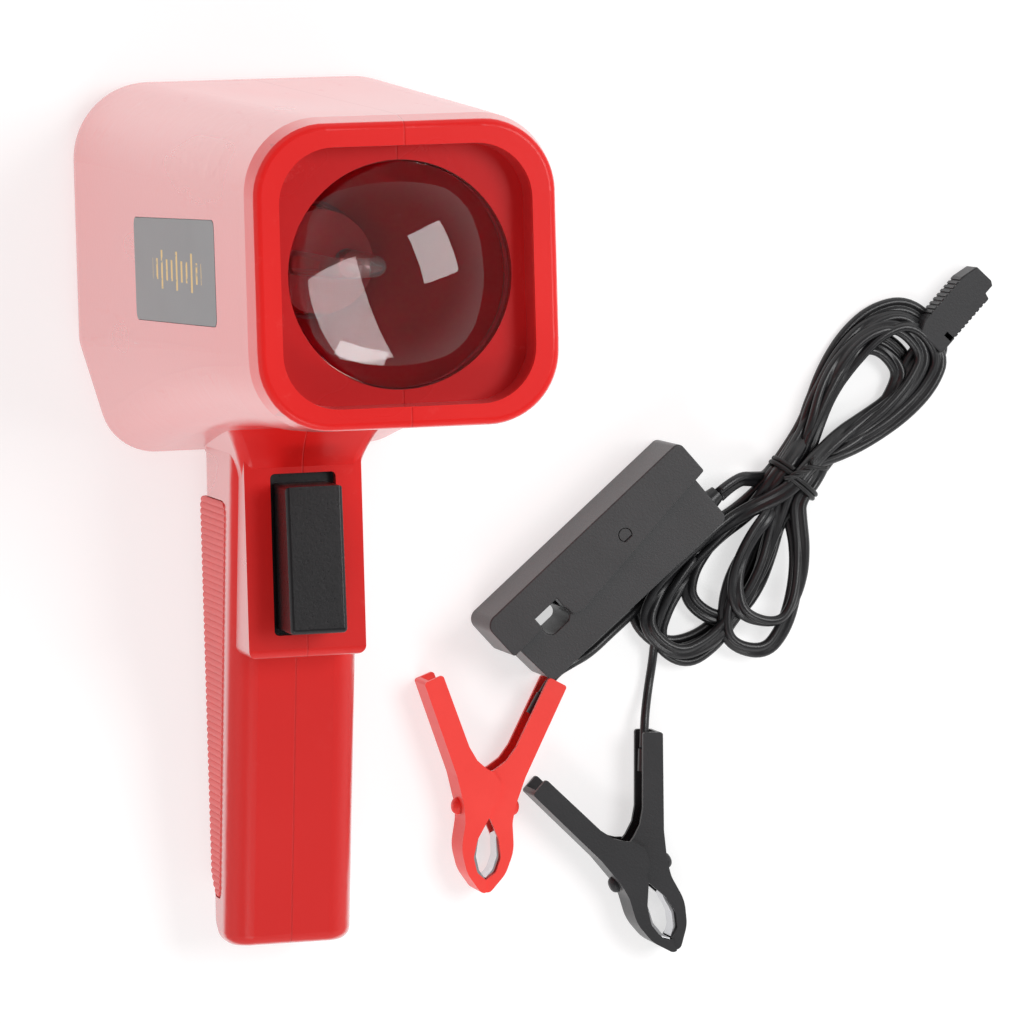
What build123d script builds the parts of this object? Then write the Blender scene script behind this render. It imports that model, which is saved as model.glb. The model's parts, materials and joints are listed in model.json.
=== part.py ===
"""Inductive timing light: a pistol-shaped strobe gun and its clip-on lead set.

The gun stands on the flat tail of its barrel, so +Z is the direction of the beam, +Y is the
gun's top and the grip points to -Y.  The lead set lies beside it on the same table.  The
origin is the middle of the tail face.  All sizes are in millimetres.
"""
import os
from math import cos, pi, radians, sin, sqrt, tan

from build123d import *

os.makedirs("parts", exist_ok=True)

# ---------------------------------------------------------------- driving dimensions: gun
WALL = 2.2                 # moulded wall of the two housing halves
GUN_LENGTH = 175.0         # tail face to front rim
TAIL_RADIUS = 6.0          # rounding of the rear edge
LENS_PLATE_Z = 167.0       # front face of the plate round the lens
LENS_PLATE_BACK = 164.0
LENS_HOLE_R = 27.4
FRONT_OPENING = (61.8, 62.0)
FRONT_OPENING_R = 13.5

# height, half width, top, bottom, end of the upright side, lean of the lower side,
# top corner radius and bottom corner radius of each section of the barrel
BARREL_SECTIONS = (
    (8.0, 47.3, 45.0, 51.5, 22.0, 8.5, 20.0, 14.0),
    (58.0, 44.3, 42.9, 43.5, 20.0, 5.0, 19.5, 15.0),
    (95.0, 42.2, 41.3, 39.6, 19.0, 3.0, 19.0, 16.0),
    (150.0, 38.9, 39.0, 37.3, 18.0, 1.0, 18.5, 17.0),
)
RIM_SECTIONS = (
    (150.0, 38.9, 39.0, 37.3, 18.0, 1.0, 18.5, 17.0),
    (168.0, 37.8, 38.1, 36.6, 17.3, 0.8, 18.1, 17.2),
    (GUN_LENGTH, 36.6, 36.4, 36.0, 16.0, 0.5, 17.5, 17.5),
)
SIDE_BEND_R = 10.0         # where the upright side turns into the leaning one

GRIP_HALF_W = 17.0
GRIP_TOP_Y = -40.0
GRIP_END_Y = -181.0
GRIP_FRONT = (55.4, 26.4)  # height of the grip's front face at its top and at its end
GRIP_BACK = (8.5, 2.0)     # height of its back there
GRIP_FRONT_R = 7.0
GRIP_BACK_R = 11.0

SWITCH_HALF_W = 15.4
SWITCH_TOP_Y = -40.0
SWITCH_END_Y = -102.5
SWITCH_FRONT_Z = 56.0
SWITCH_WALL = 3.0

BUTTON_HALF_W = 7.4
BUTTON_Y = (-95.2, -57.6)
BUTTON_FRONT_Z = 69.6
BUTTON_TRAVEL = 4.0
BUTTON_GAP = 1.2

SCREW_SITES = ((29.0, 138.0), (-29.0, 128.0), (35.0, 18.0), (-22.0, 14.0), (-116.0, 22.0),
               (-153.0, 20.5))   # Y and Z of the case screws
SCREW_R = 1.25
SCREW_HEAD_R = 2.9
SCREW_HEAD_X = 12.0

# ---------------------------------------------------------------- driving dimensions: leads
CORD_D = 4.4               # width of the flat twin cord
WIRE_D = 2.4               # one insulated conductor
HANK_H = 10.0
CLAMP_CORNER = (56.3, -100.4)    # outer back corner of the pickup clamp
CLAMP_ANGLE = 40.3
CLAMP_L = 70.0
CLAMP_W = 25.0
CLAMP_H = 20.0
CLAMP_PIN = (44.0, 8.5)
CLAMP_PIN_R = 1.7
CLAMP_PIN_FLAT = 1.05      # distance of the pin's flat from its axis
RED_CLIP = (58.9, -146.3, -4.5)      # pivot X, Y and turn of each battery clip
BLACK_CLIP = (99.5, -167.0, 21.8)
CLIP_H = 11.6
PLUG_TAIL = (185.8, -30.7)
PLUG_ANGLE = 46.0


def mix(a, b, share):
    """Value a given share of the way from a to b."""
    return a + (b - a) * share


def save(node, name):
    """Label a finished piece and write its STEP file."""
    node.part.label = name
    export_step(node.part, f"parts/{name}.step")


# ================================================================ the gun's outer form
def barrel_section(z, shape, inset=0.0):
    """Section of the barrel at a height, or of the cavity inside it."""
    half_w, top, bottom, side_low, lean, r_top, r_bottom = shape
    w = half_w - inset
    with BuildSketch(Plane.XY.offset(z)) as section:
        with BuildLine():
            FilletPolyline(
                (w, top - inset),
                (-w, top - inset),
                (-w, -side_low),
                (-w + lean, -bottom + inset),
                (w - lean, -bottom + inset),
                (w, -side_low),
                radius=[r_top - inset, r_top - inset, SIDE_BEND_R,
                        r_bottom - inset, r_bottom - inset, SIDE_BEND_R],
                close=True,
            )
        make_face()
    return section.sketch


def barrel_run(sections, inset=0.0, front_z=None):
    """Sections of a stretch of the barrel, optionally inset and ended early."""
    heights = [z for z, *shape in sections]
    if front_z is not None:
        heights[-1] = front_z
    return [barrel_section(z, shape, inset) for z, (_, *shape) in zip(heights, sections)]


def grip_section(share, inset=0.0):
    """Section across the grip, a share of the way from its top to its end."""
    front = mix(*GRIP_FRONT, share) - inset
    back = mix(*GRIP_BACK, share) + inset
    w = GRIP_HALF_W - inset
    with BuildSketch(Plane.XZ.offset(-mix(GRIP_TOP_Y, GRIP_END_Y, share))) as section:
        with BuildLine():
            FilletPolyline(
                (w, back), (w, front), (-w, front), (-w, back),
                radius=[GRIP_BACK_R - inset, GRIP_FRONT_R - inset,
                        GRIP_FRONT_R - inset, GRIP_BACK_R - inset],
                close=True,
            )
        make_face()
    return section.sketch


with BuildPart() as barrel_form:
    loft(barrel_run(BARREL_SECTIONS))
    loft(barrel_run(RIM_SECTIONS[:2]))
    loft(barrel_run(RIM_SECTIONS[1:]))
    extrude(barrel_section(0.0, BARREL_SECTIONS[0][1:]), amount=BARREL_SECTIONS[0][0])
    fillet(barrel_form.edges().group_by(Axis.Z)[0], radius=TAIL_RADIUS)
    fillet(barrel_form.edges().group_by(Axis.Z)[-1], radius=1.8)

HEEL_R = 11.0
with BuildPart() as grip_form:
    loft([grip_section(0.0), grip_section(1.0)])
    end_edges = grip_form.edges().group_by(Axis.Y)[0]
    fillet(end_edges, radius=3.5)

# the heel of the grip is cut away behind, where the end meets the back
with BuildPart() as heel_cut:
    with BuildSketch(Plane.YZ.offset(-GRIP_HALF_W - 5)):
        with BuildLine():
            Polyline((GRIP_END_Y - 5, -5), (GRIP_END_Y + 13, -5), (GRIP_END_Y + 11.5, 3.0),
                     (GRIP_END_Y + 3.5, 14.5), (GRIP_END_Y - 5, 19.0), close=True)
        make_face()
    extrude(amount=2 * GRIP_HALF_W + 10)

# flared neck where switch housing and grip run into the barrel
NECK_SECTIONS = ((-36.0, 24.0, 1.0, 71.0), (-43.5, 20.2, 3.5, 63.0), (-49.0, 17.4, 6.0, 58.0),
                 (-56.0, SWITCH_HALF_W, 8.5, SWITCH_FRONT_Z - 0.3))
with BuildPart() as neck_form:
    for y, half_w, back, front in NECK_SECTIONS:
        with BuildSketch(Plane.XZ.offset(-y)):
            with BuildLine():
                FilletPolyline((half_w, back), (half_w, front), (-half_w, front),
                               (-half_w, back), radius=[8.0, 3.0, 3.0, 8.0], close=True)
            make_face()
    loft()

with BuildPart() as switch_form:
    with BuildSketch(Plane.XY.offset(22.0)):
        with Locations((0, (SWITCH_TOP_Y + SWITCH_END_Y) / 2)):
            Rectangle(2 * SWITCH_HALF_W, SWITCH_TOP_Y - SWITCH_END_Y)
    extrude(amount=SWITCH_FRONT_Z - 22.0)
    low_edges = switch_form.edges().group_by(Axis.Y)[0]
    fillet(low_edges, radius=2.4)

with BuildPart() as gun_form:
    add(barrel_form.part)
    add(grip_form.part)
    add(heel_cut.part, mode=Mode.SUBTRACT)
    add(neck_form.part)
    add(switch_form.part)

# ---------------------------------------------------------------- cavities
BAY_HALF_W = SWITCH_HALF_W - WALL
BAY_Y = (SWITCH_END_Y + WALL, -30.0)
with BuildPart() as barrel_cavity:
    loft(barrel_run(BARREL_SECTIONS, WALL))
    loft(barrel_run(RIM_SECTIONS[:2], WALL, LENS_PLATE_BACK))
    extrude(barrel_section(WALL, BARREL_SECTIONS[0][1:], WALL),
            amount=BARREL_SECTIONS[0][0] - WALL)
    fillet(barrel_cavity.edges().group_by(Axis.Z)[0], radius=TAIL_RADIUS - WALL)

with BuildPart() as grip_cavity:
    loft([grip_section(0.0, WALL), grip_section(0.94, WALL)])
    add(heel_cut.part.moved(Location((0, WALL, WALL))), mode=Mode.SUBTRACT)

with BuildPart() as switch_cavity:
    with BuildSketch(Plane.XY.offset(16.0)):
        with Locations((0, sum(BAY_Y) / 2)):
            Rectangle(2 * BAY_HALF_W, BAY_Y[1] - BAY_Y[0])
    extrude(amount=SWITCH_FRONT_Z - SWITCH_WALL - 16.0)

with BuildPart() as gun_openings:
    with BuildSketch(Plane.XY.offset(GUN_LENGTH)):
        RectangleRounded(*FRONT_OPENING, FRONT_OPENING_R)
    extrude(amount=-(GUN_LENGTH - LENS_PLATE_Z), taper=2.0)
    with BuildSketch(Plane.XY.offset(LENS_PLATE_BACK - 1)):
        Circle(LENS_HOLE_R)
    extrude(amount=LENS_PLATE_Z - LENS_PLATE_BACK + 2)
    with BuildSketch(Plane.XY.offset(SWITCH_FRONT_Z - SWITCH_WALL - 1)):
        with Locations((0, sum(BUTTON_Y) / 2 + 0.6)):
            RectangleRounded(2 * (BUTTON_HALF_W + BUTTON_GAP),
                             BUTTON_Y[1] - BUTTON_Y[0] + 2 * BUTTON_GAP + 1.6, 1.2)
    extrude(amount=SWITCH_WALL + 8)

# socket in the end of the grip
SOCKET_Z = 19.5
SOCKET_SIZE = (14.0, 9.6)
with BuildPart() as socket_hole:
    with BuildSketch(Plane.XZ.offset(-GRIP_END_Y - 14)):
        with Locations((0, SOCKET_Z)):
            RectangleRounded(*SOCKET_SIZE, 1.0)
    extrude(amount=20)

# shallow pockets for the rating plates on the barrel's sides and the pads on the grip's sides
PLATE_Z = (66.0, 141.0)
PLATE_H = 25.6
PLATE_TURN = 1.0           # each plate sits a little askew
PLATE_T = 0.8
PLATE_LEAN = 3.41          # lean of the barrel's sides to the beam, in degrees


def side_plane(side, z, out=0.0):
    """Plane on the barrel's side, its normal pointing out, its x axis along +Y."""
    z0, w0 = BARREL_SECTIONS[0][:2]
    z1, w1 = BARREL_SECTIONS[-1][:2]
    half_w = mix(w0, w1, (z - z0) / (z1 - z0))
    a = radians(PLATE_LEAN)
    normal = Vector(side * cos(a), 0, sin(a))
    return Plane(origin=Vector(side * half_w, 0, z) + normal * out, x_dir=(0, 1, 0), z_dir=normal)


def side_plate(side, grow, low, high):
    """Rounded plate on the barrel's side between two heights over its surface."""
    with BuildPart() as plate:
        with BuildSketch(side_plane(side, sum(PLATE_Z) / 2, low)):
            RectangleRounded(PLATE_H + 2 * grow, PLATE_Z[1] - PLATE_Z[0] + 2 * grow, 2.0,
                             rotation=-side * PLATE_TURN)
        extrude(amount=high - low)
    return plate.part


def grip_pad_outline(x, grow):
    """Outline of the textured pad on the grip's side, in a plane across X."""
    with BuildSketch(Plane.YZ.offset(x)) as outline:
        with BuildLine():
            FilletPolyline(
                (-63.0 + grow, 9.0 - grow), (-63.0 + grow, 40.5 + grow),
                (-169.0 - grow, 19.5 + grow), (-169.0 - grow, 13.0 - grow), (-163.0, 8.0 - grow),
                radius=[4.0, 4.0, 3.0, 3.0, 5.0], close=True,
            )
        make_face()
    return outline.sketch


PAD_T = 1.2
with BuildPart() as pockets:
    for side in (-1, 1):
        add(side_plate(side, 0.15, -PLATE_T, 3.0))
        extrude(grip_pad_outline(side * (GRIP_HALF_W - PAD_T), 0.1), amount=side * 4)

# ---------------------------------------------------------------- inside posts and rails
BOARD_Y = -26.0
BOARD_T = 1.6
BOARD_HALF_W = 31.0
BOARD_Z = (16.0, 108.0)
RAIL_ZS = (28.0, 90.0)

with BuildPart() as lens_ring_seat:
    with BuildSketch(Plane.XY.offset(155.5)):
        Circle(33.0)
        Circle(30.3, mode=Mode.SUBTRACT)
    extrude(amount=LENS_PLATE_BACK - 155.5)

with BuildPart() as posts:
    for y, z in SCREW_SITES:
        with BuildSketch(Plane.YZ.offset(-60)):
            with Locations((y, z)):
                Circle(4.6)
        extrude(amount=120)
    for z in RAIL_ZS:
        for side in (-1, 1):
            with BuildSketch(Plane.XY.offset(z - 7)):
                with Locations((side * 38, BOARD_Y)):
                    Rectangle(19, 7)
            extrude(amount=14)
    with BuildSketch(Plane.XY.offset(BOARD_Z[0])):
        with Locations((0, BOARD_Y)):
            Rectangle(2 * BOARD_HALF_W + 0.2, BOARD_T + 0.1)
    extrude(amount=BOARD_Z[1] - BOARD_Z[0], mode=Mode.SUBTRACT)
    add(gun_form.part, mode=Mode.INTERSECT)

with BuildPart() as shell_form:
    add(gun_form.part)
    add(barrel_cavity.part, mode=Mode.SUBTRACT)
    add(grip_cavity.part, mode=Mode.SUBTRACT)
    add(switch_cavity.part, mode=Mode.SUBTRACT)
    add(posts.part)
    add(lens_ring_seat.part)
    add(gun_openings.part, mode=Mode.SUBTRACT)
    add(socket_hole.part, mode=Mode.SUBTRACT)
    add(pockets.part, mode=Mode.SUBTRACT)

with BuildPart() as half_space:
    with BuildSketch(Plane.YZ):
        Rectangle(600, 600)
    extrude(amount=200)

with BuildPart() as housing_left:
    add(shell_form.part)
    add(half_space.part, mode=Mode.SUBTRACT)
    for y, z in SCREW_SITES:
        with BuildSketch(Plane.YZ):
            with Locations((y, z)):
                Circle(SCREW_R)
        extrude(amount=-11, mode=Mode.SUBTRACT)
save(housing_left, "housing_left")

with BuildPart() as housing_right:
    add(shell_form.part)
    add(half_space.part, mode=Mode.INTERSECT)
    for y, z in SCREW_SITES:
        with BuildSketch(Plane.YZ):
            with Locations((y, z)):
                Circle(SCREW_R + 0.2)
        extrude(amount=60, mode=Mode.SUBTRACT)
        with BuildSketch(Plane.YZ.offset(SCREW_HEAD_X)):
            with Locations((y, z)):
                Circle(SCREW_HEAD_R + 0.2)
        extrude(amount=60, mode=Mode.SUBTRACT)
save(housing_right, "housing_right")

with BuildPart() as case_screws:
    for y, z in SCREW_SITES:
        with BuildSketch(Plane.YZ.offset(-9)):
            with Locations((y, z)):
                Circle(SCREW_R)
        extrude(amount=SCREW_HEAD_X + 9)
        with BuildSketch(Plane.YZ.offset(SCREW_HEAD_X)):
            with Locations((y, z)):
                Circle(SCREW_HEAD_R)
        extrude(amount=2.0)
        with BuildSketch(Plane.YZ.offset(SCREW_HEAD_X + 2.0)):
            with Locations((y, z)):
                Rectangle(3.6, 0.8)
                Rectangle(0.8, 3.6)
        extrude(amount=-1.2, mode=Mode.SUBTRACT)
save(case_screws, "case_screws")

for side, name in ((-1, "plate_left"), (1, "plate_right")):
    with BuildPart() as rating_plate:
        add(side_plate(side, 0.0, -PLATE_T, 0.1))
    save(rating_plate, name)

for side, name in ((-1, "grip_pad_left"), (1, "grip_pad_right")):
    with BuildPart() as grip_pad:
        extrude(grip_pad_outline(side * (GRIP_HALF_W - PAD_T), 0.0), amount=side * (PAD_T + 0.25))
    save(grip_pad, name)

# ================================================================ lens and lamp
LENS_R = 27.0
LENS_EDGE_Z = 165.4
LENS_TOP = 173.6
LENS_BULGE_R = (LENS_R ** 2 + (LENS_TOP - LENS_EDGE_Z) ** 2) / (2 * (LENS_TOP - LENS_EDGE_Z))
bulge_mid = (LENS_R / 2, LENS_TOP - LENS_BULGE_R + sqrt(LENS_BULGE_R ** 2 - LENS_R ** 2 / 4))
with BuildPart() as lens:
    with BuildSketch(Plane.XZ):
        with BuildLine():
            Polyline((0, 161.2), (30.0, 161.2), (30.0, LENS_PLATE_BACK),
                     (LENS_R, LENS_PLATE_BACK), (LENS_R, LENS_EDGE_Z))
            ThreePointArc((LENS_R, LENS_EDGE_Z), bulge_mid, (0, LENS_TOP))
            Line((0, LENS_TOP), (0, 161.2))
        make_face()
    revolve(axis=Axis.Z)
save(lens, "lens")

with BuildPart() as lens_retainer:
    with BuildSketch(Plane.XY.offset(158.0)):
        Circle(30.1)
        Circle(27.0, mode=Mode.SUBTRACT)
    extrude(amount=3.2)
save(lens_retainer, "lens_retainer")

with BuildPart() as reflector:
    with BuildSketch(Plane.XZ):
        with BuildLine():
            Polyline((30.1, 158.0), (30.1, 156.6), (26.8, 156.6))
            ThreePointArc((26.8, 156.6), (21.4, 134.0), (8.6, 118.0))
            Line((8.6, 118.0), (7.5, 119.0))
            ThreePointArc((7.5, 119.0), (20.2, 134.4), (25.6, 156.6))
            Polyline((25.6, 156.6), (25.6, 158.0), (30.1, 158.0))
        make_face()
    revolve(axis=Axis.Z)
save(reflector, "reflector")

with BuildPart() as lamp_base:
    with BuildSketch(Plane.XY.offset(110.0)):
        Circle(8.2)
    extrude(amount=7.9)
    with BuildSketch(Plane.XY.offset(117.9)):
        Circle(7.0)
    extrude(amount=5.0)
    chamfer(lamp_base.edges().group_by(Axis.Z)[0], length=0.8)
save(lamp_base, "lamp_base")

LEG_X = 3.6
LEG_TOP = 134.0
with BuildPart() as flash_tube:
    with BuildLine() as tube_path:
        Line((-LEG_X, 0, 122.9), (-LEG_X, 0, LEG_TOP))
        ThreePointArc((-LEG_X, 0, LEG_TOP), (0, 0, LEG_TOP + LEG_X), (LEG_X, 0, LEG_TOP))
        Line((LEG_X, 0, LEG_TOP), (LEG_X, 0, 122.9))
    with BuildSketch(Plane(origin=(-LEG_X, 0, 122.9), z_dir=(0, 0, 1))):
        Circle(1.7)
    sweep(path=tube_path.line)
save(flash_tube, "flash_tube")

# ================================================================ electronics on their board
BOARD_TOP = BOARD_Y + BOARD_T / 2
with BuildPart() as circuit_board:
    with BuildSketch(Plane.XY.offset(BOARD_Z[0])):
        with Locations((0, BOARD_Y)):
            Rectangle(2 * BOARD_HALF_W, BOARD_T)
    extrude(amount=BOARD_Z[1] - BOARD_Z[0])
save(circuit_board, "circuit_board")

with BuildPart() as transformer:
    with BuildSketch(Plane.XZ.offset(-BOARD_TOP)):
        with Locations((-15.0, 40.0)):
            Rectangle(20, 24)
    extrude(amount=-16)
    with BuildSketch(Plane.YZ.offset(-28)):
        with Locations((BOARD_TOP + 9, 40.0)):
            Circle(6.6)
    extrude(amount=26)
    fillet(transformer.edges().filter_by(Axis.Y), radius=1.0)
save(transformer, "transformer")

with BuildPart() as storage_capacitor:
    with BuildSketch(Plane.XY.offset(32.0)):
        with Locations((14.0, BOARD_TOP + 9.0)):
            Circle(9.0)
    extrude(amount=34.0)
    fillet(storage_capacitor.edges(), radius=1.0)
save(storage_capacitor, "storage_capacitor")

with BuildPart() as trigger_coil:
    for radius, low, high in ((5.2, 0.0, 1.4), (3.8, 1.4, 10.0), (5.2, 10.0, 11.4)):
        with BuildSketch(Plane.XZ.offset(-BOARD_TOP - low)):
            with Locations((-14.0, 78.0)):
                Circle(radius)
        extrude(amount=-(high - low))
save(trigger_coil, "trigger_coil")

with BuildPart() as board_components:
    for x, z in ((0.0, 92.0), (5.0, 92.0), (10.0, 92.0), (2.0, 76.0), (8.0, 76.0)):
        with BuildSketch(Plane.XY.offset(z)):
            with Locations((x, BOARD_TOP + 1.4)):
                Circle(1.4)
        extrude(amount=9.0)
    with BuildSketch(Plane.XZ.offset(-BOARD_TOP)):
        with Locations((20.0, 84.0)):
            Rectangle(10.0, 4.6)
    extrude(amount=-15.0)
save(board_components, "board_components")


# ================================================================ wires and cords
def corner_radii(points):
    """Arc radius at each inner corner: 0.45 of the shorter run over tan of half the turn."""
    radii = []
    for before, here, after in zip(points, points[1:], points[2:]):
        run_in = Vector(*here) - Vector(*before)
        run_out = Vector(*after) - Vector(*here)
        turn = radians(run_in.get_angle(run_out))
        radii.append(0.45 * min(run_in.length, run_out.length) / tan(turn / 2))
    return radii


def save_tube(points, diameter, name):
    """Tube along straight runs joined by tangent arcs; its facts are printed."""
    radii = corner_radii(points)
    with BuildPart() as tube:
        with BuildLine() as path:
            FilletPolyline(*points, radius=radii)
        with BuildSketch(Plane(origin=points[0], z_dir=path.line % 0)):
            Circle(diameter / 2)
        sweep(path=path.line)
    length = sum(edge.length for edge in path.edges())
    share = tube.part.volume / (pi * diameter ** 2 / 4 * length)
    print(f"{name}: length {length:.1f}, tightest {min(radii):.1f}, volume ratio {share:.4f}")
    save(tube, name)


LAMP_LEAD = ((-9.6, 0, 112.5), (-12.0, -4, 108.0), (-14.0, -14, 104.0), (-15.0, -21.9, 101.0))
save_tube(LAMP_LEAD, 1.6, "lamp_lead")

SUPPLY_LEAD = ((0, -167.5, 17.0), (0.3, -161.5, 13.2), (0, -152, 11.6), (0.5, -138, 11.9),
               (0, -122, 11.7), (0.4, -106, 12.2), (0, -90, 12.4), (0.3, -74, 12.6),
               (0, -58, 12.4), (0, -46, 15.4), (0, -38.6, 20.2), (0, -33.0, 24.0))
save_tube(SUPPLY_LEAD, 2.2, "supply_lead")

with BuildPart() as lead_clip:
    with BuildSketch(Plane.XZ.offset(26.9)):
        with Locations((0, 26.5)):
            Rectangle(6.0, 7.0)
    extrude(amount=6.0)
    with BuildSketch(Plane(origin=SUPPLY_LEAD[-1], z_dir=(0, 9.0, 6.4))):
        Circle(1.15)
    extrude(amount=12, both=True, mode=Mode.SUBTRACT)
save(lead_clip, "lead_clip")

# ================================================================ push button and its switch
BAY_FRONT_Z = SWITCH_FRONT_Z - SWITCH_WALL
FLANGE_T = 2.0
FLANGE_TOP = BAY_FRONT_Z - 0.05
SPRING_Y = -66.0
SEAT_Z = 34.0
NUB_Y = -86.0
with BuildPart() as trigger_button:
    with BuildSketch(Plane.YZ.offset(-BUTTON_HALF_W)):
        with BuildLine():
            Polyline((BUTTON_Y[0], FLANGE_TOP - 0.5), (BUTTON_Y[0], BUTTON_FRONT_Z + 0.7),
                     (BUTTON_Y[1], BUTTON_FRONT_Z - 1.1), (BUTTON_Y[1], FLANGE_TOP - 0.5),
                     close=True)
        make_face()
    extrude(amount=2 * BUTTON_HALF_W)
    fillet(trigger_button.edges().group_by(Axis.Z, tol_digits=0)[-1], radius=1.3)
    fillet(trigger_button.edges().filter_by(Axis.Z), radius=1.0)
    with BuildSketch(Plane.XY.offset(FLANGE_TOP - FLANGE_T)):
        with Locations((0, sum(BUTTON_Y) / 2)):
            Rectangle(2 * BUTTON_HALF_W + 6.4, BUTTON_Y[1] - BUTTON_Y[0] + 6.4)
    extrude(amount=FLANGE_T)
    for y, low, radius in ((SPRING_Y, 40.5, 2.6), (NUB_Y, 46.2, 2.2)):
        with BuildSketch(Plane.XY.offset(low)):
            with Locations((0, y)):
                Circle(radius)
        extrude(amount=FLANGE_TOP - FLANGE_T - low)
save(trigger_button, "trigger_button")

with BuildPart() as switch_carrier:
    with BuildSketch(Plane.XY.offset(SEAT_Z - 2.0)):
        with Locations((0, -76.0)):
            Rectangle(2 * BAY_HALF_W - 0.2, 44.0)
    extrude(amount=2.0)
    for y in (-97.0, -55.0):
        with BuildSketch(Plane.XY.offset(SEAT_Z - 4.5)):
            with Locations((0, y)):
                Rectangle(2 * BAY_HALF_W - 0.2, 2.0)
        extrude(amount=2.5)
save(switch_carrier, "switch_carrier")

with BuildPart() as micro_switch:
    with BuildSketch(Plane.XY.offset(SEAT_Z)):
        with Locations((0, NUB_Y)):
            Rectangle(10.0, 18.0)
    extrude(amount=6.0)
    with BuildSketch(Plane.XY.offset(SEAT_Z + 6.0)):
        with Locations((0, NUB_Y)):
            Circle(1.4)
    extrude(amount=2.0)
    fillet(micro_switch.edges().filter_by(Axis.Z).group_by(Axis.X)[0], radius=0.6)
save(micro_switch, "micro_switch")

TRIGGER_COIL_R = 4.0
TRIGGER_WIRE_R = 0.4
TRIGGER_SPRING_Z = (SEAT_Z + TRIGGER_WIRE_R, FLANGE_TOP - FLANGE_T - TRIGGER_WIRE_R)
with BuildPart() as trigger_spring:
    spring_len = TRIGGER_SPRING_Z[1] - TRIGGER_SPRING_Z[0]
    with BuildLine() as coil_path:
        Helix(pitch=spring_len / 5, height=spring_len, radius=TRIGGER_COIL_R,
              center=(0, SPRING_Y, TRIGGER_SPRING_Z[0]))
    with BuildSketch(Plane(origin=coil_path.line @ 0, z_dir=coil_path.line % 0)):
        Circle(TRIGGER_WIRE_R)
    sweep(path=coil_path.line, is_frenet=True)
save(trigger_spring, "trigger_spring")

# ================================================================ socket in the grip's end
with BuildPart() as socket_body:
    with BuildSketch(Plane.XZ.offset(-GRIP_END_Y - 13.5)):
        with Locations((0, SOCKET_Z)):
            RectangleRounded(SOCKET_SIZE[0] - 0.1, SOCKET_SIZE[1] - 0.1, 0.9)
    extrude(amount=13.0)
    with BuildSketch(Plane.XZ.offset(-GRIP_END_Y - 0.5)):
        with Locations((0.6, SOCKET_Z)):
            RectangleRounded(7.6, 6.2, 0.8)
        with Locations((0, SOCKET_Z)):
            Rectangle(11.4, 4.0)
    extrude(amount=-10.0, mode=Mode.SUBTRACT)
save(socket_body, "socket_body")

with BuildPart() as socket_pins:
    for x in (-4.0, 0.0, 4.0):
        with BuildSketch(Plane.XZ.offset(-GRIP_END_Y - 10.5)):
            with Locations((x, SOCKET_Z)):
                Circle(0.8)
        extrude(amount=7.0)
save(socket_pins, "socket_pins")

# ================================================================ pickup clamp
CLAMP_BASE = Plane(
    origin=(CLAMP_CORNER[0], CLAMP_CORNER[1], 0),
    x_dir=(cos(radians(CLAMP_ANGLE)), sin(radians(CLAMP_ANGLE)), 0),
    z_dir=(0, 0, 1),
)
CHEEK = 1.5
BODY_LOW = CHEEK + 0.15
BODY_HIGH = CLAMP_H - CHEEK - 0.15
WINDOW_U = (11.0, 19.0)
WINDOW_V = (8.3, 15.2)
JAW_V = 11.5


def clamp_level(height):
    """Workplane of the clamp at a height over the table."""
    return CLAMP_BASE.offset(height)


GLAND_MOUTH = 68.1
GLAND_OUT = 4.0


def clamp_end(u):
    """Workplane across the clamp, centred on its cord's bore and facing out of its end."""
    return Plane(origin=clamp_level(8.0).from_local_coords((u, -20.6, 0)),
                 z_dir=CLAMP_BASE.x_dir)


def pin_section(height, grow):
    """Round section of the hinge pin with its flat, at a height over the table."""
    x, y = CLAMP_PIN[0], -CLAMP_PIN[1]
    with BuildSketch(clamp_level(height)) as section:
        with Locations((x, y)):
            Circle(CLAMP_PIN_R + grow)
        with Locations((x, y - CLAMP_PIN_FLAT - grow - 1.5)):
            Rectangle(6.0, 3.0, mode=Mode.SUBTRACT)
    return section.sketch


# In the clamp's own plane x runs along its length and -y across it, towards the cord side.
with BuildPart() as pickup_shell:
    with BuildSketch(clamp_level(0)):
        with BuildLine():
            FilletPolyline((0, 0), (CLAMP_L + 1.4, 0), (CLAMP_L + 1.4, -10.6), (22.4, -15.6),
                           (19.6, -14.6), (19.3, -JAW_V), (0.2, -JAW_V - 0.4),
                           radius=[3.0, 2.0, 0.6, 0.8, 1.0, 0.4, 0.8], close=True)
        make_face()
    extrude(amount=CLAMP_H)
    with BuildSketch(clamp_level(CHEEK)):
        with BuildLine():
            Polyline((24.2, -1.9), (CLAMP_L, -1.9), (CLAMP_L, -20), (-5, -20),
                     (-5, -JAW_V - 0.05), (24.2, -JAW_V - 0.05), close=True)
        make_face()
    extrude(amount=CLAMP_H - 2 * CHEEK, mode=Mode.SUBTRACT)
    with BuildSketch(clamp_level(-1)):
        with Locations((sum(WINDOW_U) / 2, -(WINDOW_V[0] + 12.0) / 2)):
            Rectangle(WINDOW_U[1] - WINDOW_U[0], 12.0 - WINDOW_V[0])
    extrude(amount=CLAMP_H + 2, mode=Mode.SUBTRACT)
    extrude(pin_section(0, 0.0), amount=CLAMP_H, mode=Mode.SUBTRACT)
    extrude(pin_section(CLAMP_H, 0.25), amount=-0.8, mode=Mode.SUBTRACT)
    with BuildSketch(clamp_level(4.0)):
        with Locations((15.0, -7.7)):
            Rectangle(17.2, 7.5)
    extrude(amount=CLAMP_H - 8.0, mode=Mode.SUBTRACT)
    fillet(pickup_shell.faces().sort_by(Axis.Z)[-1].edges().filter_by(GeomType.LINE), radius=0.4)
save(pickup_shell, "pickup_shell")

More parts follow.
